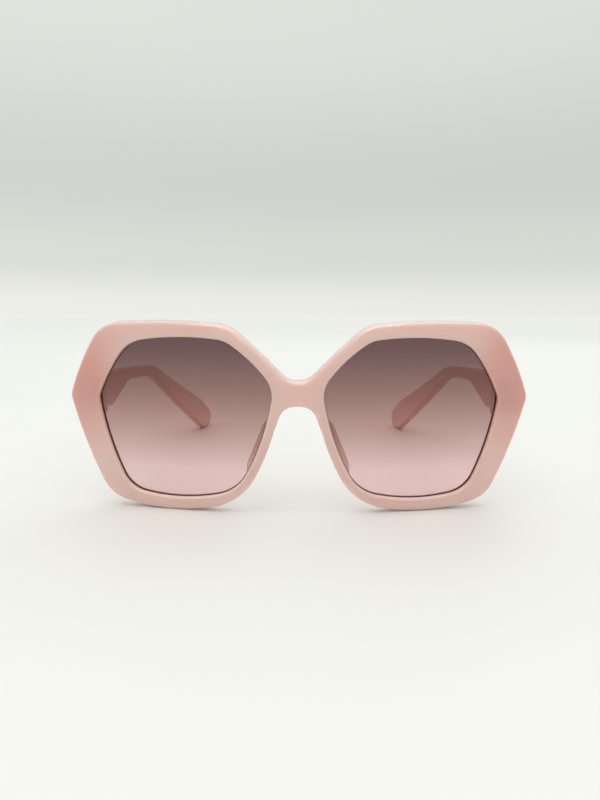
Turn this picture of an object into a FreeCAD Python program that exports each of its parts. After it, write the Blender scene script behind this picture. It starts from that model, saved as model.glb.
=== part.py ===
import FreeCAD, Part
import math
import os

# Oversized six-sided sunglasses: a curved front, two lenses, two folding temples and their hinges.
# Millimetres. The glasses stand open, as on a table: +Z is up, the front faces -Y and the temples
# run to +Y. The wearer's left side is +X. Each left piece is modelled once and mirrored.
# The front is drawn upright (u across, v up), is curved, and is then leant forward at the top.

Vector = FreeCAD.Vector

# Front
FACE_RADIUS = 240.0      # radius of the ball that the front's outer face lies on
FACE_CENTRE_V = 31.0     # height on the front where that ball is centred
FRONT_THICK = 4.8
AHEAD = 10.0             # cutters start this far in front of the front
PAST = 90.0              # and run past every piece
LEAN = 6.0               # degrees
# Corners of one rim from the outermost one round: u, v and rounding. Bows are of the sides after them.
RIM_CORNERS = [(75.5, 35.7, 4.2), (63.0, 59.5, 12.0), (21.5, 60.0, 11.7),
               (5.0, 44.8, 4.6), (19.0, 1.9, 21.5), (64.2, 1.0, 10.6)]
RIM_BOWS = [1.0, 1.2, 0.4, 3.3, 4.0, 0.9]
LENS_CORNERS = [(65.0, 35.8, 4.7), (53.6, 54.1, 11.6), (22.9, 55.3, 9.1),
                (7.7, 40.5, 9.4), (20.0, 5.9, 14.9), (56.5, 4.3, 9.6)]
LENS_BOWS = [1.0, 1.4, 1.2, 2.0, 2.8, 1.3]
FRONT_EDGE = 1.3         # rounding of the outer edge, front side
BACK_EDGE = 1.0          # rounding of the outer edge, back side
APERTURE_FRONT_EDGE = 0.6
APERTURE_BACK_BEVEL = 1.8     # opens the aperture towards the eye

# Bridge
BRIDGE_TOP = 42.9
BRIDGE_BOTTOM = 34.8
BRIDGE_TOP_HALF = 2.9    # half width of its straight top, before rounding
BRIDGE_BOTTOM_HALF = 4.5
BRIDGE_TOP_ROUND = 6.5
BRIDGE_ARCH_ROUND = 5.2
BRIDGE_ROOT = [(8.3, 24.5), (12.0, 25.0), (12.0, 44.0), (9.0, 48.5)]     # its end, inside the rim

# Lens and its groove
LENS_THICK = 1.2
LENS_SETBACK = 1.5       # from the front's outer face to the lens's outer face
LENS_IN_GROOVE = 0.9
LENS_BEVEL = 0.4
GROOVE_GAP = 0.04

# Nose pad: a flat lozenge that stands on the back of the rim beside the nose
PAD_U = 12.5
PAD_V = 18.8
PAD_DEPTH = 7.6
PAD_THICK = 2.2
PAD_LONG = 20.0
PAD_WIDE = 8.8
PAD_CORNER = 4.2
PAD_ROUND = 0.9
PAD_FLARE = 16.0         # degrees that it opens towards the back
PAD_SPLAY = 22.0         # degrees that it opens towards the bottom
PAD_WRAP = 1.0           # how far it reaches forward over the rim's rounded back edges

# End piece: the flat pad behind the front's outer corner that the temple closes against
END_BACK_Y = 16.4
END_INNER_X = 64.7
END_BOTTOM = 32.3
END_TOP = 44.7
END_INSET = 0.9          # from the rim's outline to the end piece's
END_ROUND = 0.7

# Hinge: three knuckles on the front, two on the temple, one vertical screw
HINGE_X = 66.5
HINGE_Y = 18.0
HINGE_BOTTOM = 35.9
KNUCKLES = 5
KNUCKLE_HIGH = 1.5
KNUCKLE_GAP = 0.06
KNUCKLE_R = 1.3
WEB_HALF = 1.0
LEAF_THICK = 1.0
LEAF_CORNER = 1.1
LEAF_MARGIN = 0.2        # from the leaf's ends to the end knuckles' ends
FRONT_LEAF_X = (65.4, 71.0)
TEMPLE_LEAF_Y = (17.3, 28.0)
PIVOT_R = 0.7
PIVOT_BORE_R = 0.75      # running fit in the temple's knuckles
PIVOT_SEAT_R = 0.72      # in the front's knuckles
PIVOT_HEAD_R = 1.15
PIVOT_HEAD_HIGH = 0.6

# Small countersunk screws that hold the leaves
FIX_R = 0.5
FIX_HEAD_R = 0.95
FIX_HEAD_HIGH = 0.5
FIX_LONG = 3.0
FIX_GAP = 0.03
FRONT_FIX_X = 69.3
FRONT_FIX_Z = (37.6, 41.7)
TEMPLE_FIX_Y = (21.3, 25.6)
SLOT_WIDE = 0.3
SLOT_DEEP = 0.25

# Temple: plan curve of its inner face, then its side outline
TEMPLE_INNER_X = 68.0
TEMPLE_STRAIGHT = 11.0   # straight from the hinge this far back
TEMPLE_TURN = 3.6        # degrees that it turns inwards there
TEMPLE_TURN_R = 100.0
TEMPLE_BOW_R = 1000.0
TEMPLE_ROOT_THICK = 4.2
TEMPLE_TIP_THICK = 3.4
TEMPLE_REACH = 148.0
TEMPLE_EDGE = 1.2
BUTT_Y = 16.7
# Distance behind the hinge, height and rounding. It starts at the top of the butt.
TEMPLE_SIDE = [(BUTT_Y - HINGE_Y, 44.7, 0.0), (35.0, 44.0, 60.0), (62.0, 42.3, 42.0),
               (127.5, 17.2, 18.0), (144.0, 7.2, 5.5), (139.0, 0.0, 4.5), (130.0, 0.2, 10.0),
               (60.0, 38.0, 40.0), (32.4, 39.1, 9.0), (15.0, 31.7, 3.0),
               (BUTT_Y - HINGE_Y, 32.3, 0.0)]


def box(x, y, z):
    """Box from three (low, high) pairs."""
    low = Vector(x[0], y[0], z[0])
    return Part.makeBox(x[1] - x[0], y[1] - y[0], z[1] - z[0], low)


def moved(shape, x, y, z):
    copy = shape.copy()
    copy.translate(Vector(x, y, z))
    return copy


def mirrored(shape):
    return shape.mirror(Vector(0, 0, 0), Vector(1, 0, 0))


# Flat outlines, in the XZ plane

def bowed_side(start, end, bow):
    """Centre and radius of the circle through both ends that bulges away from the inside."""
    chord = math.dist(start[:2], end[:2])
    radius = (chord * chord / 4 + bow * bow) / (2 * bow)
    tx, tz = (end[0] - start[0]) / chord, (end[1] - start[1]) / chord
    mx, mz = (start[0] + end[0]) / 2, (start[1] + end[1]) / 2
    return (mx - tz * (radius - bow), mz + tx * (radius - bow)), radius


def corner_centre(before, after, rounding, corner):
    """Centre of the circle that rounds a corner and touches the bowed sides on both sides of it."""
    (ax, az), ra = before
    (bx, bz), rb = after
    gap = math.dist((ax, az), (bx, bz))
    ex, ez = (bx - ax) / gap, (bz - az) / gap
    along = ((ra - rounding) ** 2 - (rb - rounding) ** 2 + gap ** 2) / (2 * gap)
    off = math.sqrt((ra - rounding) ** 2 - along ** 2)
    options = [(ax + ex * along - ez * s * off, az + ez * along + ex * s * off) for s in (1, -1)]
    return min(options, key=lambda centre: math.dist(centre, corner[:2]))


def arc_about(centre, radius, start, end):
    """Counter-clockwise arc from the direction of one point to that of another."""
    first = math.atan2(start[1] - centre[1], start[0] - centre[0])
    last = math.atan2(end[1] - centre[1], end[0] - centre[0])
    if last < first:
        last += 2 * math.pi
    points = [Vector(centre[0] + radius * math.cos(a), 0, centre[1] + radius * math.sin(a))
              for a in (first, (first + last) / 2, last)]
    return Part.Arc(*points).toShape()


def bowed_outline(corners, bows, grow=0.0):
    """Face with bowed sides and rounded corners, grown outwards evenly."""
    count = len(corners)
    sides = [bowed_side(corners[i], corners[(i + 1) % count], bows[i]) for i in range(count)]
    rounds = [corner_centre(sides[i - 1], sides[i], corners[i][2], corners[i]) for i in range(count)]
    edges = []
    for i, (centre, radius) in enumerate(sides):
        before = sides[i - 1][0]
        # A side's circle and a corner's circle touch on the line through their centres.
        start = tuple(2 * r - b for r, b in zip(rounds[i], before))
        turn = tuple(2 * r - c for r, c in zip(rounds[i], centre))
        edges.append(arc_about(rounds[i], corners[i][2] + grow, start, turn))
        edges.append(arc_about(centre, radius + grow, rounds[i], rounds[(i + 1) % count]))
    return Part.Face(Part.Wire(edges))


def rounded_polygon(corners):
    """Closed wire in the YZ plane from (y, z, rounding) corners."""
    count = len(corners)
    points = [Vector(0, y, z) for y, z, r in corners]
    pieces = []
    for i, (_, _, rounding) in enumerate(corners):
        here = points[i]
        back = (points[i - 1] - here).normalize()
        ahead = (points[(i + 1) % count] - here).normalize()
        if rounding == 0:
            pieces.append((here, None, here))
            continue
        half = back.getAngle(ahead) / 2
        cut = rounding / math.tan(half)
        inward = (back + ahead).normalize()
        middle = here + inward * (rounding / math.sin(half) - rounding)
        pieces.append((here + back * cut, middle, here + ahead * cut))
    edges = []
    for i, (start, middle, end) in enumerate(pieces):
        if middle:
            edges.append(Part.Arc(start, middle, end).toShape())
        edges.append(Part.LineSegment(end, pieces[(i + 1) % count][0]).toShape())
    return Part.Wire(edges)


# Front

def curved_layer(outer_depth, inner_depth):
    """The ball-shaped layer between two depths behind the front's outer face."""
    centre = Vector(0, FACE_RADIUS, FACE_CENTRE_V)
    outer = Part.makeSphere(FACE_RADIUS - outer_depth, centre)
    inner = Part.makeSphere(FACE_RADIUS - inner_depth, centre)
    return outer.cut(inner).common(box((-PAST, PAST), (-AHEAD, PAST / 2), (-PAST, PAST)))


def straight_back(face):
    return moved(face, 0, -AHEAD, 0).extrude(Vector(0, PAST, 0))


def bridge_bar():
    """Bar between the rims, with its ends inside them."""
    half = [(BRIDGE_BOTTOM_HALF, BRIDGE_BOTTOM), *BRIDGE_ROOT, (BRIDGE_TOP_HALF, BRIDGE_TOP)]
    loop = half + [(-u, v) for u, v in reversed(half)]
    corners = [Vector(u, 0, v) for u, v in loop]
    return straight_back(Part.Face(Part.makePolygon(corners + corners[:1])))


def edges_at(solid, u, v):
    """Edges that run straight back at this place and at its mirror place."""
    return [e for e in solid.Edges
            if e.BoundBox.YLength > 50
            and abs(abs(e.BoundBox.Center.x) - u) < 0.7
            and abs(e.BoundBox.Center.z - v) < 0.7]


def lens_solid(gap=0.0):
    """Left lens, or with a gap the groove that holds it."""
    outline = bowed_outline(LENS_CORNERS, LENS_BOWS, LENS_IN_GROOVE + gap)
    layer = curved_layer(LENS_SETBACK - gap, LENS_SETBACK + LENS_THICK + gap)
    solid = straight_back(outline).common(layer)
    rims = [e for e in solid.Edges if e.BoundBox.YLength < e.Length and not is_straight_back(e)]
    return solid.makeChamfer(LENS_BEVEL, rims)


def is_straight_back(edge):
    return edge.BoundBox.XLength < 0.01 and edge.BoundBox.ZLength < 0.01


def depth_behind_face(point):
    """How far a point lies behind the front's outer face."""
    return FACE_RADIUS - point.distanceToPoint(Vector(0, FACE_RADIUS, FACE_CENTRE_V))


def curved_front():
    """Rims and bridge with both apertures and all rounded edges."""
    rim = straight_back(bowed_outline(RIM_CORNERS, RIM_BOWS))
    blank = rim.fuse([mirrored(rim), bridge_bar()]).removeSplitter()
    blank = blank.makeFillet(BRIDGE_TOP_ROUND, edges_at(blank, BRIDGE_TOP_HALF, BRIDGE_TOP))
    blank = blank.makeFillet(BRIDGE_ARCH_ROUND, edges_at(blank, BRIDGE_BOTTOM_HALF, BRIDGE_BOTTOM))
    front = blank.common(curved_layer(0, FRONT_THICK))
    front = front.makeFillet(FRONT_EDGE, sharp_face_edges(front, 0))
    front = front.makeFillet(BACK_EDGE, sharp_face_edges(front, FRONT_THICK))
    for side in (lambda s: s, mirrored):
        front = front.cut(side(straight_back(bowed_outline(LENS_CORNERS, LENS_BOWS))))
    front = front.makeFillet(APERTURE_FRONT_EDGE, sharp_face_edges(front, 0))
    return front.makeChamfer(APERTURE_BACK_BEVEL, sharp_face_edges(front, FRONT_THICK))


def sharp_face_edges(solid, depth):
    """The sharp edges that lie all along one of the front's two ball faces."""
    found = []
    for edge in solid.Edges:
        places = [edge.valueAt(edge.FirstParameter + t * (edge.LastParameter - edge.FirstParameter))
                  for t in (0, 0.37, 1)]
        walls = [f for f in solid.ancestorsOfType(edge, Part.Face)]
        on_face = all(abs(depth_behind_face(p) - depth) < 1e-3 for p in places)
        sharp = any(isinstance(f.Surface, Part.Cylinder) or isinstance(f.Surface, Part.Plane) for f in walls)
        if on_face and sharp:
            found.append(edge)
    return found


def leant(shape):
    copy = shape.copy()
    copy.rotate(Vector(0, 0, FACE_CENTRE_V), Vector(1, 0, 0), LEAN)
    return copy


def end_piece(lift):
    """Left end piece, inside the rim's own outline and cut off upright at the back."""
    outline = bowed_outline(RIM_CORNERS, RIM_BOWS, -END_INSET)
    post = straight_back(outline).common(curved_layer(FRONT_THICK / 2, PAST))
    room = box((END_INNER_X, PAST), (0, END_BACK_Y), (END_BOTTOM, END_TOP))
    block = room.common(moved(leant(post), 0, 0, lift))
    back = [e for e in block.Edges if e.BoundBox.YMin > END_BACK_Y - 0.01]
    return block.makeFillet(END_ROUND, back)


# Nose pads

def pad_blank(lift):
    """Left pad before it is cut to the rim."""
    stadium = rounded_polygon([(y, z, PAD_CORNER) for y, z in
                               [(-PAD_WIDE / 2, -PAD_LONG / 2), (PAD_WIDE / 2, -PAD_LONG / 2),
                                (PAD_WIDE / 2, PAD_LONG / 2), (-PAD_WIDE / 2, PAD_LONG / 2)]])
    pad = moved(Part.Face(stadium), -PAD_THICK / 2, 0, 0).extrude(Vector(PAD_THICK, 0, 0))
    pad = pad.makeFillet(PAD_ROUND, [e for e in pad.Edges if e.BoundBox.XLength < 0.01])
    pad.rotate(Vector(0, 0, 0), Vector(0, 0, 1), -PAD_FLARE)
    pad.rotate(Vector(0, 0, 0), Vector(0, 1, 0), -PAD_SPLAY)
    return moved(leant(moved(pad, PAD_U, PAD_DEPTH, PAD_V)), 0, 0, lift)


def nose_pad(front, lift):
    behind = moved(leant(curved_layer(FRONT_THICK - PAD_WRAP, PAST)), 0, 0, lift)
    pieces = pad_blank(lift).common(behind).cut(front).Solids
    return max(pieces, key=lambda piece: piece.Volume)


# Hinge

def upright_rod(radius, low, high, x=HINGE_X, y=HINGE_Y):
    return Part.makeCylinder(radius, high - low, Vector(x, y, low))


def leaf_plate(x, y):
    """Hinge leaf with rounded corners, thin in X or in Y."""
    top = HINGE_BOTTOM + KNUCKLES * KNUCKLE_HIGH
    plate = box(x, y, (HINGE_BOTTOM + LEAF_MARGIN, top - LEAF_MARGIN))
    corners = [e for e in plate.Edges if abs(e.Length - LEAF_THICK) < 1e-6]
    return plate.makeFillet(LEAF_CORNER, corners)


def knuckles(numbers, web, gap):
    """Hinge knuckles of one leaf, each with the web that joins it to the leaf."""
    parts = []
    for number in numbers:
        low = HINGE_BOTTOM + number * KNUCKLE_HIGH + gap
        high = low + KNUCKLE_HIGH - 2 * gap
        parts += [upright_rod(KNUCKLE_R, low, high), box(*web, (low, high))]
    return parts


def fix_screw(gap=0.0):
    """Countersunk screw along +Y from its head's flat at the origin, or its hole."""
    axis = Vector(0, 1, 0)
    shank = Part.makeCylinder(FIX_R + gap, FIX_LONG + gap, Vector(0, 0, 0), axis)
    head = Part.makeCone(FIX_HEAD_R + gap, FIX_R + gap, FIX_HEAD_HIGH, Vector(0, 0, 0), axis)
    screw = shank.fuse(head).removeSplitter()
    if gap:
        return screw
    slot = box((-FIX_LONG, FIX_LONG), (-FIX_LONG, SLOT_DEEP), (-SLOT_WIDE / 2, SLOT_WIDE / 2))
    return screw.cut(slot)


def front_fixings(gap=0.0):
    """Screws, or holes, that run forward from the end piece's back face."""
    screw = fix_screw(gap)
    screw.rotate(Vector(0, 0, 0), Vector(0, 0, 1), 180)
    return [moved(screw, FRONT_FIX_X, END_BACK_Y, z) for z in FRONT_FIX_Z]


def temple_fixings(gap=0.0):
    """Screws, or holes, that run outwards from the temple's inner face."""
    screw = fix_screw(gap)
    screw.rotate(Vector(0, 0, 0), Vector(0, 0, 1), -90)
    middle = HINGE_BOTTOM + KNUCKLES * KNUCKLE_HIGH / 2
    return [moved(screw, TEMPLE_INNER_X, y, middle) for y in TEMPLE_FIX_Y]


def front_leaf_blank():
    """The leaf that the front carries, before its holes are made. It also cuts its own seat."""
    plate = leaf_plate(FRONT_LEAF_X, (END_BACK_Y - LEAF_THICK, END_BACK_Y))
    web = ((HINGE_X - WEB_HALF, HINGE_X + WEB_HALF), (END_BACK_Y - LEAF_THICK / 2, HINGE_Y))
    return plate.fuse(knuckles(range(0, KNUCKLES, 2), web, 0)).removeSplitter()


def temple_leaf_blank():
    """The leaf that the temple carries, before its holes are made. It also cuts its own seat."""
    plate = leaf_plate((TEMPLE_INNER_X, TEMPLE_INNER_X + LEAF_THICK), TEMPLE_LEAF_Y)
    web = ((HINGE_X, TEMPLE_INNER_X + LEAF_THICK / 2), (HINGE_Y - WEB_HALF / 2, HINGE_Y + WEB_HALF))
    return plate.fuse(knuckles(range(1, KNUCKLES, 2), web, KNUCKLE_GAP)).removeSplitter()


def front_hinge_leaf():
    bore = upright_rod(PIVOT_SEAT_R, 0, PAST)
    return front_leaf_blank().cut([bore] + front_fixings(FIX_GAP))


def temple_hinge_leaf():
    bore = upright_rod(PIVOT_BORE_R, 0, PAST)
    return temple_leaf_blank().cut([bore] + temple_fixings(FIX_GAP))


def hinge_screw():
    top = HINGE_BOTTOM + KNUCKLES * KNUCKLE_HIGH
    head = upright_rod(PIVOT_HEAD_R, top, top + PIVOT_HEAD_HIGH)
    head = head.makeFillet(PIVOT_HEAD_HIGH / 2, [e for e in head.Edges if e.BoundBox.ZMin > top])
    slot = box((0, PAST), (HINGE_Y - SLOT_WIDE / 2, HINGE_Y + SLOT_WIDE / 2),
               (top + PIVOT_HEAD_HIGH - SLOT_DEEP, PAST))
    return head.fuse(upright_rod(PIVOT_R, HINGE_BOTTOM, top)).removeSplitter().cut(slot)


# Temples

def inner_x(behind):
    """X of the temple's inner face at a distance behind the hinge."""
    turn = math.radians(TEMPLE_TURN)
    turned = TEMPLE_TURN_R * turn
    past = behind - TEMPLE_STRAIGHT
    if past <= 0:
        return TEMPLE_INNER_X
    if past <= turned:
        return TEMPLE_INNER_X - past ** 2 / (2 * TEMPLE_TURN_R)
    rest = past - turned
    return TEMPLE_INNER_X - turned * turn / 2 - turn * rest - rest ** 2 / (2 * TEMPLE_BOW_R)


def outer_x(behind):
    thin = (TEMPLE_ROOT_THICK - TEMPLE_TIP_THICK) * max(behind, 0) / TEMPLE_REACH
    return inner_x(behind) + TEMPLE_ROOT_THICK - thin


def temple_plan():
    """Seen from above, the temple's strip between its inner and outer faces."""
    front = BUTT_Y - HINGE_Y
    turned = TEMPLE_STRAIGHT + TEMPLE_TURN_R * math.radians(TEMPLE_TURN)
    stations = [TEMPLE_STRAIGHT, turned, TEMPLE_REACH]

    def face_line(x_at):
        at = lambda s: Vector(x_at(s), HINGE_Y + s, 0)
        edges = [Part.LineSegment(at(front), at(TEMPLE_STRAIGHT)).toShape()]
        for start, end in zip(stations, stations[1:]):
            edges.append(Part.Arc(at(start), at((start + end) / 2), at(end)).toShape())
        return edges, at(front), at(TEMPLE_REACH)

    inner, inner_front, inner_end = face_line(inner_x)
    outer, outer_front, outer_end = face_line(outer_x)
    ends = [Part.LineSegment(inner_end, outer_end).toShape(),
            Part.LineSegment(outer_front, inner_front).toShape()]
    return Part.Face(Part.Wire(Part.sortEdges(inner + outer + ends)[0]))


def temple():
    side = moved(Part.Face(rounded_polygon(TEMPLE_SIDE)), 0, HINGE_Y, 0).extrude(Vector(PAST, 0, 0))
    arm = temple_plan().extrude(Vector(0, 0, PAST)).common(side)
    long_edges = [e for e in arm.Edges if e.BoundBox.YMax > BUTT_Y + 0.01
                  and (e.BoundBox.YLength > 0.5 or e.BoundBox.XLength < 3)]
    arm = arm.makeFillet(TEMPLE_EDGE, long_edges)
    return arm.cut([temple_leaf_blank()] + temple_fixings(FIX_GAP))


def front_frame(lift):
    """Rims, bridge and end pieces in one, with grooves for the lenses and seats for the leaves."""
    front = moved(leant(curved_front()), 0, 0, lift)
    end = end_piece(lift)
    groove = moved(leant(lens_solid(GROOVE_GAP)), 0, 0, lift)
    seats = [front_leaf_blank()] + front_fixings(FIX_GAP)
    front = front.fuse([end, mirrored(end)])
    return front.cut([groove, mirrored(groove)] + seats + [mirrored(s) for s in seats])


def left_pieces(front, lift):
    upper, lower = front_fixings()[::-1]
    nearer, farther = temple_fixings()
    return {
        "lens": moved(leant(lens_solid()), 0, 0, lift),
        "nose_pad": nose_pad(front, lift),
        "front_hinge_leaf": front_hinge_leaf(),
        "front_leaf_screw_upper": upper,
        "front_leaf_screw_lower": lower,
        "hinge_screw": hinge_screw(),
        "temple_hinge_leaf": temple_hinge_leaf(),
        "temple_leaf_screw_front": nearer,
        "temple_leaf_screw_rear": farther,
        "temple": temple(),
    }


def assembly():
    """Every node, standing on Z = 0 with its box centred on X = 0 and Y = 0."""
    lowest = leant(curved_front()).optimalBoundingBox(False).ZMin
    nodes = {"front_frame": front_frame(-lowest)}
    for name, shape in left_pieces(nodes["front_frame"], -lowest).items():
        nodes[f"left_{name}"] = shape
        nodes[f"right_{name}"] = mirrored(shape)
    room = Part.makeCompound(list(nodes.values())).optimalBoundingBox(False)
    return {name: moved(shape, 0, -room.Center.y, 0) for name, shape in nodes.items()}


os.makedirs("parts", exist_ok=True)
for name, shape in assembly().items():
    shape.exportStep(f"parts/{name}.step")
    room = shape.optimalBoundingBox(False)
    low, high = (room.XMin, room.YMin, room.ZMin), (room.XMax, room.YMax, room.ZMax)
    print(f"{name:32} {shape.Volume:9.2f} mm3 ", *(f"{a:.2f}..{b:.2f}" for a, b in zip(low, high)),
          "valid" if shape.isValid() and len(shape.Solids) == 1 else "FAULTY")
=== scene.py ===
import math

import bpy
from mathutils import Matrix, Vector


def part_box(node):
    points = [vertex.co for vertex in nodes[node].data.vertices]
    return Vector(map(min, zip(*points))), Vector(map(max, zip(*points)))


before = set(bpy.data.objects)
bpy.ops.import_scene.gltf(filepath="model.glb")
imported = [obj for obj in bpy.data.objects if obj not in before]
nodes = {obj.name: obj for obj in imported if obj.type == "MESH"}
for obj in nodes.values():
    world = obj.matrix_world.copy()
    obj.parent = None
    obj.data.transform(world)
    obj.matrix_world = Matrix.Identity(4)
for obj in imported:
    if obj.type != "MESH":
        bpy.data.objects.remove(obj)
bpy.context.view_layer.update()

scene = bpy.context.scene
bpy.ops.object.select_all(action="DESELECT")
print("frame loaded:", len(nodes), "nodes")


# camera

view = {
    "distance": 0.1837,    # in front of the foremost point of the glasses
    "height": 0.0668,      # above the table
    "aside": 0.0006,
    "swing": 0.5,          # degrees round the glasses, towards their left
    "tiltDown": 8.6,       # degrees
    "roll": -0.2,          # degrees
    "lens": 27.0,
    "sensor": 36.0,
    "nearest": 0.01,
}


def addCamera():
    low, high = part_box("front_frame")
    swing = math.radians(view["swing"])
    bpy.ops.object.camera_add(
        location=(view["aside"] + view["distance"] * math.sin(swing),
                  low.y - view["distance"] * math.cos(swing), view["height"]),
        rotation=(math.radians(90 - view["tiltDown"]), math.radians(view["roll"]), swing))
    camera = bpy.context.object
    camera.name = "camera"
    camera.data.lens = view["lens"]
    camera.data.sensor_width = view["sensor"]
    camera.data.clip_start = view["nearest"]
    camera.data.dof.use_dof = False
    scene.camera = camera
    scene.view_settings.view_transform = "Standard"
    scene.view_settings.look = "None"
    print("camera set")


addCamera()


# studio: a pale table that runs to the horizon, and a soft sky

studio = {
    "tableRadius": 8.0,
    "tableColor": (0.790, 0.797, 0.769),
    "tableShade": (0.770, 0.777, 0.749),   # its faint mottling
    "mottle": 9.0,         # per metre
    "tooth": 700.0,        # grain of the board, per metre
    "toothDepth": 0.00002,
    "tableRoughness": 0.55,
    "tableShine": 0.25,
    "sideFall": -0.05,     # how much less light comes from the right
    "sky": [               # sine of the height above the horizon, then colour
        (0.000, (0.83, 0.84, 0.79)),
        (0.080, (0.70, 0.71, 0.67)),
        (0.190, (0.635, 0.645, 0.61)),
        (0.410, (0.74, 0.75, 0.71)),
        (1.000, (1.50, 1.50, 1.50)),
    ],
    "brightest": 1.50,     # the ramp itself only holds shares up to one
}


def addTable():
    bpy.ops.mesh.primitive_circle_add(vertices=96, radius=studio["tableRadius"], fill_type="NGON")
    table = bpy.context.object
    table.name = "table"

    mat = bpy.data.materials.new("tableSurface")
    mat.use_nodes = True
    nt = mat.node_tree
    nt.nodes.clear()
    out = nt.nodes.new("ShaderNodeOutputMaterial")
    out.label = "table"
    out.location = (1100, 0)
    body = nt.nodes.new("ShaderNodeBsdfPrincipled")
    body.label = "matt white board"
    body.location = (800, 0)
    where = nt.nodes.new("ShaderNodeTexCoord")
    where.label = "place on the table"
    where.location = (0, 0)
    mottle = nt.nodes.new("ShaderNodeTexNoise")
    mottle.label = "uneven whiteness"
    mottle.location = (220, 150)
    paint = nt.nodes.new("ShaderNodeMix")
    paint.label = "two near whites"
    paint.location = (520, 150)
    tooth = nt.nodes.new("ShaderNodeTexNoise")
    tooth.label = "grain of the board"
    tooth.location = (220, -250)
    bump = nt.nodes.new("ShaderNodeBump")
    bump.label = "tooth"
    bump.location = (520, -250)
    whiteness = nt.nodes.new("NodeFrame")
    whiteness.label = "whiteness"
    grain = nt.nodes.new("NodeFrame")
    grain.label = "grain"
    mottle.parent = whiteness
    paint.parent = whiteness
    tooth.parent = grain
    bump.parent = grain

    mottle.inputs["Scale"].default_value = studio["mottle"]
    mottle.inputs["Detail"].default_value = 2.0
    paint.data_type = "RGBA"
    paint.inputs[6].default_value = (*studio["tableColor"], 1)
    paint.inputs[7].default_value = (*studio["tableShade"], 1)
    tooth.inputs["Scale"].default_value = studio["tooth"]
    bump.inputs["Distance"].default_value = studio["toothDepth"]
    body.inputs["Roughness"].default_value = studio["tableRoughness"]
    body.inputs["Specular IOR Level"].default_value = studio["tableShine"]

    nt.links.new(where.outputs["Object"], mottle.inputs["Vector"])
    nt.links.new(mottle.outputs["Fac"], paint.inputs[0])
    nt.links.new(paint.outputs[2], body.inputs["Base Color"])
    nt.links.new(where.outputs["Object"], tooth.inputs["Vector"])
    nt.links.new(tooth.outputs["Fac"], bump.inputs["Height"])
    nt.links.new(bump.outputs["Normal"], body.inputs["Normal"])
    nt.links.new(body.outputs["BSDF"], out.inputs["Surface"])
    table.data.materials.append(mat)


def setSky():
    world = bpy.data.worlds.new("softSky")
    scene.world = world
    world.use_nodes = True
    nt = world.node_tree
    nt.nodes.clear()
    out = nt.nodes.new("ShaderNodeOutputWorld")
    out.label = "sky"
    out.location = (1000, 0)
    sky = nt.nodes.new("ShaderNodeBackground")
    sky.label = "soft studio light"
    sky.location = (780, 0)
    where = nt.nodes.new("ShaderNodeTexCoord")
    where.label = "direction"
    where.location = (0, 0)
    split = nt.nodes.new("ShaderNodeSeparateXYZ")
    split.label = "height and side"
    split.location = (190, 0)
    ramp = nt.nodes.new("ShaderNodeValToRGB")
    ramp.label = "wall into overhead light"
    ramp.location = (400, 100)
    side = nt.nodes.new("ShaderNodeMath")
    side.label = "dimmer on the right"
    side.location = (400, -160)

    ramp.color_ramp.interpolation = "EASE"
    for i, (place, color) in enumerate(studio["sky"]):
        stop = ramp.color_ramp.elements[0] if i == 0 else ramp.color_ramp.elements.new(place)
        stop.position = place
        stop.color = (*[part / studio["brightest"] for part in color], 1)
    ramp.color_ramp.elements.remove(ramp.color_ramp.elements[-1])   # the new ramp's own white end
    side.operation = "MULTIPLY_ADD"
    side.inputs[1].default_value = studio["sideFall"] * studio["brightest"]
    side.inputs[2].default_value = studio["brightest"]

    nt.links.new(where.outputs["Generated"], split.inputs["Vector"])
    nt.links.new(split.outputs["Z"], ramp.inputs["Fac"])
    nt.links.new(split.outputs["X"], side.inputs[0])
    nt.links.new(ramp.outputs["Color"], sky.inputs["Color"])
    nt.links.new(side.outputs["Value"], sky.inputs["Strength"])
    nt.links.new(sky.outputs["Background"], out.inputs["Surface"])


lamps = [
    # name, place, point it faces, width and depth, watts, whether it lights matt surfaces too
    ("overheadSoftbox", (-0.25, -0.35, 0.95), (0, 0, 0.03), (0.55, 0.55), 0.8, True),
    ("rearSoftbox", (0.35, 0.85, 0.75), (0, 0, 0.03), (0.60, 0.60), 0.8, True),
    ("stripLight", (0, -0.60, 0.85), (0, -0.07, 0.06), (0.70, 0.04), 9.0, False),
]


def addLamps():
    for name, place, target, (width, depth), power, lightsAll in lamps:
        aim = (Vector(target) - Vector(place)).to_track_quat("-Z", "Y").to_euler()
        bpy.ops.object.light_add(type="AREA", location=place, rotation=aim)
        lamp = bpy.context.object
        lamp.name = name
        lamp.data.shape = "RECTANGLE"
        lamp.data.size = width
        lamp.data.size_y = depth
        lamp.data.energy = power
        lamp.visible_diffuse = lightsAll


addTable()
setSky()
addLamps()
print("studio set")


# milky plastic of the front, temples and pads, with painted shade in the lens grooves and behind the
# front's end pieces

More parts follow.
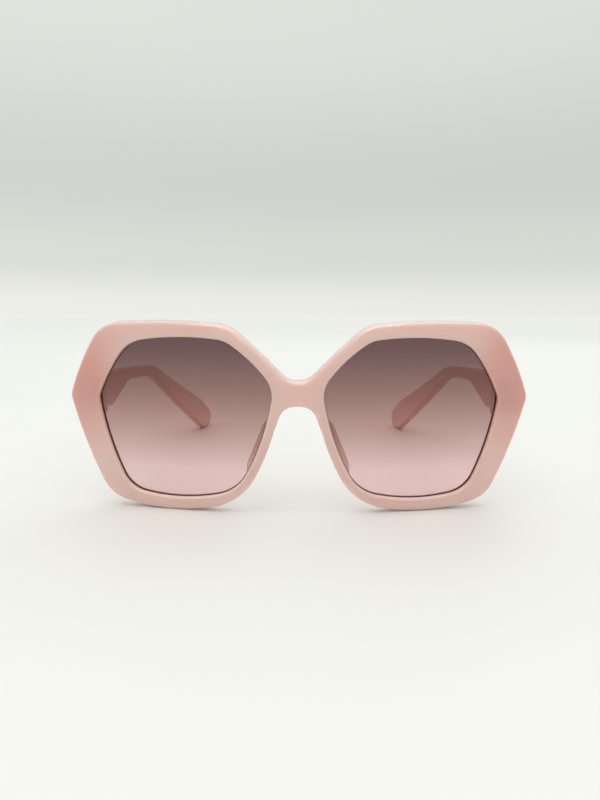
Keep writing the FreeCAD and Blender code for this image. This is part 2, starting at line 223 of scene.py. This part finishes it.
plastic = {
    "front": {
        # the front's dense colour also serves as the painted shade behind its end pieces
        "color": (0.865, 0.640, 0.580), "denseAndShade": (0.760, 0.405, 0.355),
        "through": 0.22, "paintedEndShade": True,
    },
    "temple": {
        "color": (0.840, 0.470, 0.420), "denseAndShade": (0.780, 0.400, 0.350),
        "through": 0.25, "paintedEndShade": False,
    },
    "pad": {
        "color": (0.840, 0.620, 0.560), "denseAndShade": (0.790, 0.540, 0.480),
        "through": 0.35, "paintedEndShade": False,
    },
    "clouds": 70.0,        # per metre
    "cloudRange": (0.3, 0.7),            # where in that pattern a cloud starts and is full
    "cloudShare": 0.16,    # how far the clouds go towards the dense colour
    "waves": 210.0,        # shallow waves left by buffing, per metre
    "waveDepth": 0.00035,
    "wear": 1600.0,        # fine handling marks, per metre
    "wearRange": (0.35, 0.70),           # where in that pattern a mark starts and is full
    "gloss": (0.008, 0.030),             # roughness between the marks and on them
    "depth": 0.0026,       # metres that red light spreads in the plastic
    "spread": (1.0, 0.80, 0.72),         # shares of that depth for red, green and blue
    "inside": 0.32,        # roughness under the gloss
    "underShine": 0.1,     # the gloss above it does nearly all the mirroring
    "index": 1.49,
    "groove": (0.200, 0.075, 0.062),     # shadowed colour down in the lens grooves
    "grooveDepth": 0.0014,               # metres within which a wall shelters the surface
    "grooveOpen": (0.80, 0.45),          # openness at the groove's mouth and at its floor
    "endShadeFull": 0.002,                    # height over which the painted end shade is at its full strength
    "endShadeMiddle": (0.0700, 0.0440),   # middle of the painted shade where the end piece sits behind the front: out from the middle, up
    "endShadeReach": (0.0220, 0.0300),    # how far that painted shade spreads: out, up
}


def milkyPlastic(name, color, denseAndShade, through, paintedEndShade):
    mat = bpy.data.materials.new(name)
    mat.use_nodes = True
    nt = mat.node_tree
    nt.nodes.clear()
    out = nt.nodes.new("ShaderNodeOutputMaterial")
    out.label = name
    out.location = (1900, 0)
    body = nt.nodes.new("ShaderNodeBsdfPrincipled")
    body.label = "milky moulded plastic"
    body.location = (1600, 0)
    where = nt.nodes.new("ShaderNodeTexCoord")
    where.label = "place on the piece"
    where.location = (0, 0)

    clouding = nt.nodes.new("NodeFrame")
    clouding.label = "milky clouds"
    clouds = nt.nodes.new("ShaderNodeTexNoise")
    clouds.label = "soft clouds in the mix"
    clouds.location = (240, 300)
    share = nt.nodes.new("ShaderNodeMapRange")
    share.label = "only faint"
    share.location = (460, 300)
    tone = nt.nodes.new("ShaderNodeMix")
    tone.label = "clear to dense"
    tone.location = (1100, 300)
    clouds.parent = clouding
    share.parent = clouding
    tone.parent = clouding
    clouds.inputs["Scale"].default_value = plastic["clouds"]
    clouds.inputs["Detail"].default_value = 2.0
    clouds.inputs["Roughness"].default_value = 0.4
    share.inputs["From Min"].default_value = plastic["cloudRange"][0]
    share.inputs["From Max"].default_value = plastic["cloudRange"][1]
    share.inputs["To Max"].default_value = plastic["cloudShare"]
    tone.data_type = "RGBA"
    tone.inputs[6].default_value = (*color, 1)
    tone.inputs[7].default_value = (*denseAndShade, 1)
    nt.links.new(where.outputs["Object"], clouds.inputs["Vector"])
    nt.links.new(clouds.outputs["Fac"], share.inputs["Value"])

    crevice = nt.nodes.new("NodeFrame")
    crevice.label = "lens grooves"
    shelter = nt.nodes.new("ShaderNodeAmbientOcclusion")
    shelter.label = "how open the surface is"
    shelter.location = (800, 40)
    depth = nt.nodes.new("ShaderNodeMapRange")
    depth.label = "only down in grooves"
    depth.location = (1000, 40)
    shaded = nt.nodes.new("ShaderNodeMix")
    shaded.label = "shadow in grooves"
    shaded.location = (1340, 200)
    for node in (shelter, depth, shaded):
        node.parent = crevice
    shelter.samples = 8
    shelter.only_local = True
    shelter.inputs["Distance"].default_value = plastic["grooveDepth"]
    depth.inputs["From Min"].default_value = plastic["grooveOpen"][0]
    depth.inputs["From Max"].default_value = plastic["grooveOpen"][1]
    shaded.data_type = "RGBA"
    shaded.inputs[7].default_value = (*plastic["groove"], 1)
    nt.links.new(shelter.outputs["AO"], depth.inputs["Value"])
    nt.links.new(depth.outputs["Result"], shaded.inputs[0])
    nt.links.new(tone.outputs[2], shaded.inputs[6])

    polish = nt.nodes.new("NodeFrame")
    polish.label = "buffed gloss"
    wear = nt.nodes.new("ShaderNodeTexNoise")
    wear.label = "handling marks"
    wear.location = (240, -60)
    gloss = nt.nodes.new("ShaderNodeMapRange")
    gloss.label = "gloss between marks"
    gloss.location = (460, -60)
    waves = nt.nodes.new("ShaderNodeTexNoise")
    waves.label = "buffing waves"
    waves.location = (240, -360)
    bump = nt.nodes.new("ShaderNodeBump")
    bump.label = "shallow waves"
    bump.location = (460, -360)
    wear.parent = polish
    gloss.parent = polish
    waves.parent = polish
    bump.parent = polish
    wear.inputs["Scale"].default_value = plastic["wear"]
    wear.inputs["Detail"].default_value = 4.0
    gloss.inputs["From Min"].default_value = plastic["wearRange"][0]
    gloss.inputs["From Max"].default_value = plastic["wearRange"][1]
    gloss.inputs["To Min"].default_value = plastic["gloss"][0]
    gloss.inputs["To Max"].default_value = plastic["gloss"][1]
    waves.inputs["Scale"].default_value = plastic["waves"]
    waves.inputs["Detail"].default_value = 1.0
    bump.inputs["Distance"].default_value = plastic["waveDepth"]
    nt.links.new(where.outputs["Object"], wear.inputs["Vector"])
    nt.links.new(wear.outputs["Fac"], gloss.inputs["Value"])
    nt.links.new(gloss.outputs["Result"], body.inputs["Coat Roughness"])
    nt.links.new(where.outputs["Object"], waves.inputs["Vector"])
    nt.links.new(waves.outputs["Fac"], bump.inputs["Height"])
    nt.links.new(bump.outputs["Normal"], body.inputs["Coat Normal"])

    # painted shade: the front turns towards its dense colour where the end pieces and temples sit
    # behind it and block the light
    if paintedEndShade:
        behind = nt.nodes.new("NodeFrame")
        behind.label = "painted shade of the end pieces behind the front"
        split = nt.nodes.new("ShaderNodeSeparateXYZ")
        split.label = "out and up"
        split.location = (240, 700)
        outSize = nt.nodes.new("ShaderNodeMath")
        outSize.label = "either side"
        outSize.location = (420, 760)
        outward = nt.nodes.new("ShaderNodeMapRange")
        outward.label = "near the end, outwards"
        outward.location = (600, 760)
        upward = nt.nodes.new("ShaderNodeMapRange")
        upward.label = "near the end, upwards"
        upward.location = (600, 500)
        upAway = nt.nodes.new("ShaderNodeMath")
        upAway.label = "height from the end"
        upAway.location = (300, 540)
        upSize = nt.nodes.new("ShaderNodeMath")
        upSize.label = "above or below"
        upSize.location = (420, 540)
        patch = nt.nodes.new("ShaderNodeMath")
        patch.label = "painted end shade"
        patch.location = (820, 640)
        total = nt.nodes.new("ShaderNodeMath")
        total.label = "painted end shade and clouds"
        total.location = (1040, 440)
        for node in (split, outSize, outward, upward, upAway, upSize, patch, total):
            node.parent = behind
        outSize.operation = "ABSOLUTE"
        upAway.operation = "SUBTRACT"
        upAway.inputs[1].default_value = plastic["endShadeMiddle"][1]
        upSize.operation = "ABSOLUTE"
        outward.interpolation_type = "SMOOTHSTEP"
        outward.inputs["From Min"].default_value = plastic["endShadeMiddle"][0] - plastic["endShadeReach"][0]
        outward.inputs["From Max"].default_value = plastic["endShadeMiddle"][0]
        upward.interpolation_type = "SMOOTHSTEP"
        upward.inputs["From Min"].default_value = plastic["endShadeReach"][1]
        upward.inputs["From Max"].default_value = plastic["endShadeFull"]
        patch.operation = "MULTIPLY"
        total.operation = "ADD"
        total.use_clamp = True
        nt.links.new(where.outputs["Object"], split.inputs["Vector"])
        nt.links.new(split.outputs["X"], outSize.inputs[0])
        nt.links.new(outSize.outputs["Value"], outward.inputs["Value"])
        nt.links.new(split.outputs["Z"], upAway.inputs[0])
        nt.links.new(upAway.outputs["Value"], upSize.inputs[0])
        nt.links.new(upSize.outputs["Value"], upward.inputs["Value"])
        nt.links.new(outward.outputs["Result"], patch.inputs[0])
        nt.links.new(upward.outputs["Result"], patch.inputs[1])
        nt.links.new(patch.outputs["Value"], total.inputs[0])
        nt.links.new(share.outputs["Result"], total.inputs[1])
        nt.links.new(total.outputs["Value"], tone.inputs[0])
    else:
        nt.links.new(share.outputs["Result"], tone.inputs[0])

    body.inputs["Roughness"].default_value = plastic["inside"]
    body.inputs["IOR"].default_value = plastic["index"]
    body.inputs["Specular IOR Level"].default_value = plastic["underShine"]
    body.inputs["Transmission Weight"].default_value = through
    body.inputs["Subsurface Weight"].default_value = 1.0
    body.inputs["Subsurface Radius"].default_value = plastic["spread"]
    body.inputs["Subsurface Scale"].default_value = plastic["depth"]
    body.inputs["Coat Weight"].default_value = 1.0
    nt.links.new(shaded.outputs[2], body.inputs["Base Color"])
    nt.links.new(body.outputs["BSDF"], out.inputs["Surface"])
    return mat


# tinted lenses

tint = {
    "stops": [             # height above the table in metres, then what one face lets through
        (0.008, (0.950, 0.825, 0.830)),
        (0.015, (0.915, 0.780, 0.785)),
        (0.028, (0.725, 0.588, 0.568)),
        (0.040, (0.565, 0.425, 0.410)),
        (0.055, (0.390, 0.283, 0.287)),
    ],
    "top": 0.060,
    "dips": 260.0,         # slow waves of the moulded face, per metre
    "dipDepth": 0.00001,
    "smudges": 90.0,       # faint wiping marks, per metre
    "smudgeRange": (0.4, 0.8),           # where in that pattern a mark starts and is full
    "polish": (0.012, 0.05),             # roughness between the marks and on them
    "faceOn": 0.035,       # mirrored share seen face on
    "glance": 0.60,        # share that a glancing view adds to it
    "steepness": 5.0,      # how late the glancing share sets in
    "rimLine": (0.350, 0.195, 0.175),    # shadow where the lens meets the rim
    "rimReach": 0.0005,                  # metres within which the rim shades the lens
    "rimOpen": (0.92, 0.60),             # openness where that shadow starts and where it is full
}


def tintedLens(name):
    mat = bpy.data.materials.new(name)
    mat.use_nodes = True
    nt = mat.node_tree
    nt.nodes.clear()
    out = nt.nodes.new("ShaderNodeOutputMaterial")
    out.label = name
    out.location = (1500, 0)
    both = nt.nodes.new("ShaderNodeMixShader")
    both.label = "dye under polish"
    both.location = (1280, 0)
    where = nt.nodes.new("ShaderNodeTexCoord")
    where.label = "place on the lens"
    where.location = (0, 0)

    fade = nt.nodes.new("NodeFrame")
    fade.label = "dye fades downwards"
    split = nt.nodes.new("ShaderNodeSeparateXYZ")
    split.label = "height"
    split.location = (190, 0)
    scale = nt.nodes.new("ShaderNodeMath")
    scale.label = "height as a share"
    scale.location = (380, 0)
    ramp = nt.nodes.new("ShaderNodeValToRGB")
    ramp.label = "pale pink up to brown"
    ramp.location = (570, 0)
    clear = nt.nodes.new("ShaderNodeBsdfTransparent")
    clear.label = "dye"
    clear.location = (1000, 60)
    for node in (split, scale, ramp, clear):
        node.parent = fade
    scale.operation = "DIVIDE"
    scale.inputs[1].default_value = tint["top"]
    for i, (place, color) in enumerate(tint["stops"]):
        share = place / tint["top"]
        stop = ramp.color_ramp.elements[0] if i == 0 else ramp.color_ramp.elements.new(share)
        stop.position = share
        stop.color = (*color, 1)
    ramp.color_ramp.elements.remove(ramp.color_ramp.elements[-1])   # the new ramp's own white end
    nt.links.new(where.outputs["Object"], split.inputs["Vector"])
    nt.links.new(split.outputs["Z"], scale.inputs[0])
    nt.links.new(scale.outputs["Value"], ramp.inputs["Fac"])

    meeting = nt.nodes.new("NodeFrame")
    meeting.label = "shadow line at the rim"
    shelter = nt.nodes.new("ShaderNodeAmbientOcclusion")
    shelter.label = "how close the rim is"
    shelter.location = (380, 640)
    close = nt.nodes.new("ShaderNodeMapRange")
    close.label = "only right beside it"
    close.location = (570, 640)
    lined = nt.nodes.new("ShaderNodeMix")
    lined.label = "dye or shadow"
    lined.location = (820, 500)
    for node in (shelter, close, lined):
        node.parent = meeting
    shelter.samples = 8
    shelter.inputs["Distance"].default_value = tint["rimReach"]
    close.inputs["From Min"].default_value = tint["rimOpen"][0]
    close.inputs["From Max"].default_value = tint["rimOpen"][1]
    lined.data_type = "RGBA"
    lined.inputs[7].default_value = (*tint["rimLine"], 1)
    nt.links.new(shelter.outputs["AO"], close.inputs["Value"])
    nt.links.new(close.outputs["Result"], lined.inputs[0])
    nt.links.new(ramp.outputs["Color"], lined.inputs[6])
    nt.links.new(lined.outputs[2], clear.inputs["Color"])

    polish = nt.nodes.new("NodeFrame")
    polish.label = "polished face"
    mirror = nt.nodes.new("ShaderNodeBsdfGlossy")
    mirror.label = "hard clear coat"
    mirror.location = (1000, -160)
    smudges = nt.nodes.new("ShaderNodeTexNoise")
    smudges.label = "wiping marks"
    smudges.location = (380, -260)
    haze = nt.nodes.new("ShaderNodeMapRange")
    haze.label = "marks dull the polish"
    haze.location = (600, -260)
    dips = nt.nodes.new("ShaderNodeTexNoise")
    dips.label = "moulding waves"
    dips.location = (380, -560)
    bump = nt.nodes.new("ShaderNodeBump")
    bump.label = "slow waves"
    bump.location = (600, -560)
    for node in (mirror, smudges, haze, dips, bump):
        node.parent = polish
    smudges.inputs["Scale"].default_value = tint["smudges"]
    smudges.inputs["Detail"].default_value = 6.0
    haze.inputs["From Min"].default_value = tint["smudgeRange"][0]
    haze.inputs["From Max"].default_value = tint["smudgeRange"][1]
    haze.inputs["To Min"].default_value = tint["polish"][0]
    haze.inputs["To Max"].default_value = tint["polish"][1]
    dips.inputs["Scale"].default_value = tint["dips"]
    dips.inputs["Detail"].default_value = 0.0
    bump.inputs["Distance"].default_value = tint["dipDepth"]
    nt.links.new(where.outputs["Object"], smudges.inputs["Vector"])
    nt.links.new(smudges.outputs["Fac"], haze.inputs["Value"])
    nt.links.new(haze.outputs["Result"], mirror.inputs["Roughness"])
    nt.links.new(where.outputs["Object"], dips.inputs["Vector"])
    nt.links.new(dips.outputs["Fac"], bump.inputs["Height"])
    nt.links.new(bump.outputs["Normal"], mirror.inputs["Normal"])

    glancing = nt.nodes.new("NodeFrame")
    glancing.label = "more mirror at a glancing view"
    edge = nt.nodes.new("ShaderNodeLayerWeight")
    edge.label = "glancing view"
    edge.location = (380, 300)
    steep = nt.nodes.new("ShaderNodeMath")
    steep.label = "steepness"
    steep.location = (570, 300)
    amount = nt.nodes.new("ShaderNodeMath")
    amount.label = "mirrored share"
    amount.location = (850, 300)
    for node in (edge, steep, amount):
        node.parent = glancing
    edge.inputs["Blend"].default_value = 0.5
    steep.operation = "POWER"
    steep.inputs[1].default_value = tint["steepness"]
    amount.operation = "MULTIPLY_ADD"
    amount.inputs[1].default_value = tint["glance"]
    amount.inputs[2].default_value = tint["faceOn"]
    nt.links.new(edge.outputs["Facing"], steep.inputs[0])
    nt.links.new(steep.outputs["Value"], amount.inputs[0])
    nt.links.new(amount.outputs["Value"], both.inputs["Fac"])

    nt.links.new(clear.outputs["BSDF"], both.inputs[1])
    nt.links.new(mirror.outputs["BSDF"], both.inputs[2])
    nt.links.new(both.outputs["Shader"], out.inputs["Surface"])
    return mat


# hinge leaves and screws

steel = {
    "hinge": {"color": (0.64, 0.61, 0.57), "dull": (0.50, 0.47, 0.43), "roughness": (0.20, 0.38)},
    "screw": {"color": (0.58, 0.57, 0.56), "dull": (0.44, 0.42, 0.40), "roughness": (0.14, 0.30)},
    "spots": 900.0,        # tarnish, per metre
    "grain": (500.0, 500.0, 9000.0),   # brushed lines run along the glasses
    "grainDepth": 0.000004,
}


def metal(name, color, dull, roughness):
    mat = bpy.data.materials.new(name)
    mat.use_nodes = True
    nt = mat.node_tree
    nt.nodes.clear()
    out = nt.nodes.new("ShaderNodeOutputMaterial")
    out.label = name
    out.location = (1100, 0)
    body = nt.nodes.new("ShaderNodeBsdfPrincipled")
    body.label = "plated metal"
    body.location = (800, 0)
    where = nt.nodes.new("ShaderNodeTexCoord")
    where.label = "place on the hinge"
    where.location = (0, 0)

    tarnish = nt.nodes.new("NodeFrame")
    tarnish.label = "tarnish"
    spots = nt.nodes.new("ShaderNodeTexNoise")
    spots.label = "dull spots"
    spots.location = (200, 200)
    tone = nt.nodes.new("ShaderNodeMix")
    tone.label = "bright to dull"
    tone.location = (520, 320)
    rough = nt.nodes.new("ShaderNodeMapRange")
    rough.label = "dull spots are rougher"
    rough.location = (520, 80)
    for node in (spots, tone, rough):
        node.parent = tarnish
    spots.inputs["Scale"].default_value = steel["spots"]
    spots.inputs["Detail"].default_value = 4.0
    tone.data_type = "RGBA"
    tone.inputs[6].default_value = (*color, 1)
    tone.inputs[7].default_value = (*dull, 1)
    rough.inputs["To Min"].default_value = roughness[0]
    rough.inputs["To Max"].default_value = roughness[1]
    nt.links.new(where.outputs["Object"], spots.inputs["Vector"])
    nt.links.new(spots.outputs["Fac"], tone.inputs[0])
    nt.links.new(spots.outputs["Fac"], rough.inputs["Value"])
    nt.links.new(tone.outputs[2], body.inputs["Base Color"])
    nt.links.new(rough.outputs["Result"], body.inputs["Roughness"])

    brushing = nt.nodes.new("NodeFrame")
    brushing.label = "brushed lines"
    stretch = nt.nodes.new("ShaderNodeMapping")
    stretch.label = "long thin lines"
    stretch.location = (200, -260)
    lines = nt.nodes.new("ShaderNodeTexNoise")
    lines.label = "lines"
    lines.location = (390, -260)
    bump = nt.nodes.new("ShaderNodeBump")
    bump.label = "fine grooves"
    bump.location = (580, -260)
    for node in (stretch, lines, bump):
        node.parent = brushing
    stretch.inputs["Scale"].default_value = steel["grain"]
    lines.inputs["Scale"].default_value = 1.0
    bump.inputs["Distance"].default_value = steel["grainDepth"]
    nt.links.new(where.outputs["Object"], stretch.inputs["Vector"])
    nt.links.new(stretch.outputs["Vector"], lines.inputs["Vector"])
    nt.links.new(lines.outputs["Fac"], bump.inputs["Height"])
    nt.links.new(bump.outputs["Normal"], body.inputs["Normal"])

    body.inputs["Metallic"].default_value = 1.0
    nt.links.new(body.outputs["BSDF"], out.inputs["Surface"])
    return mat


def give(mat, names):
    for name in names:
        nodes[name].data.materials.clear()
        nodes[name].data.materials.append(mat)


sides = ("left", "right")
give(milkyPlastic("milkyFront", **plastic["front"]), ["front_frame"])
give(milkyPlastic("milkyTemple", **plastic["temple"]), [f"{side}_temple" for side in sides])
give(milkyPlastic("milkyPad", **plastic["pad"]), [f"{side}_nose_pad" for side in sides])
give(tintedLens("tintedLens"), [f"{side}_lens" for side in sides])
give(metal("hingeNickel", **steel["hinge"]), [name for name in nodes if name.endswith("hinge_leaf")])
give(metal("screwSteel", **steel["screw"]), [name for name in nodes if "screw" in name])
print("materials set")
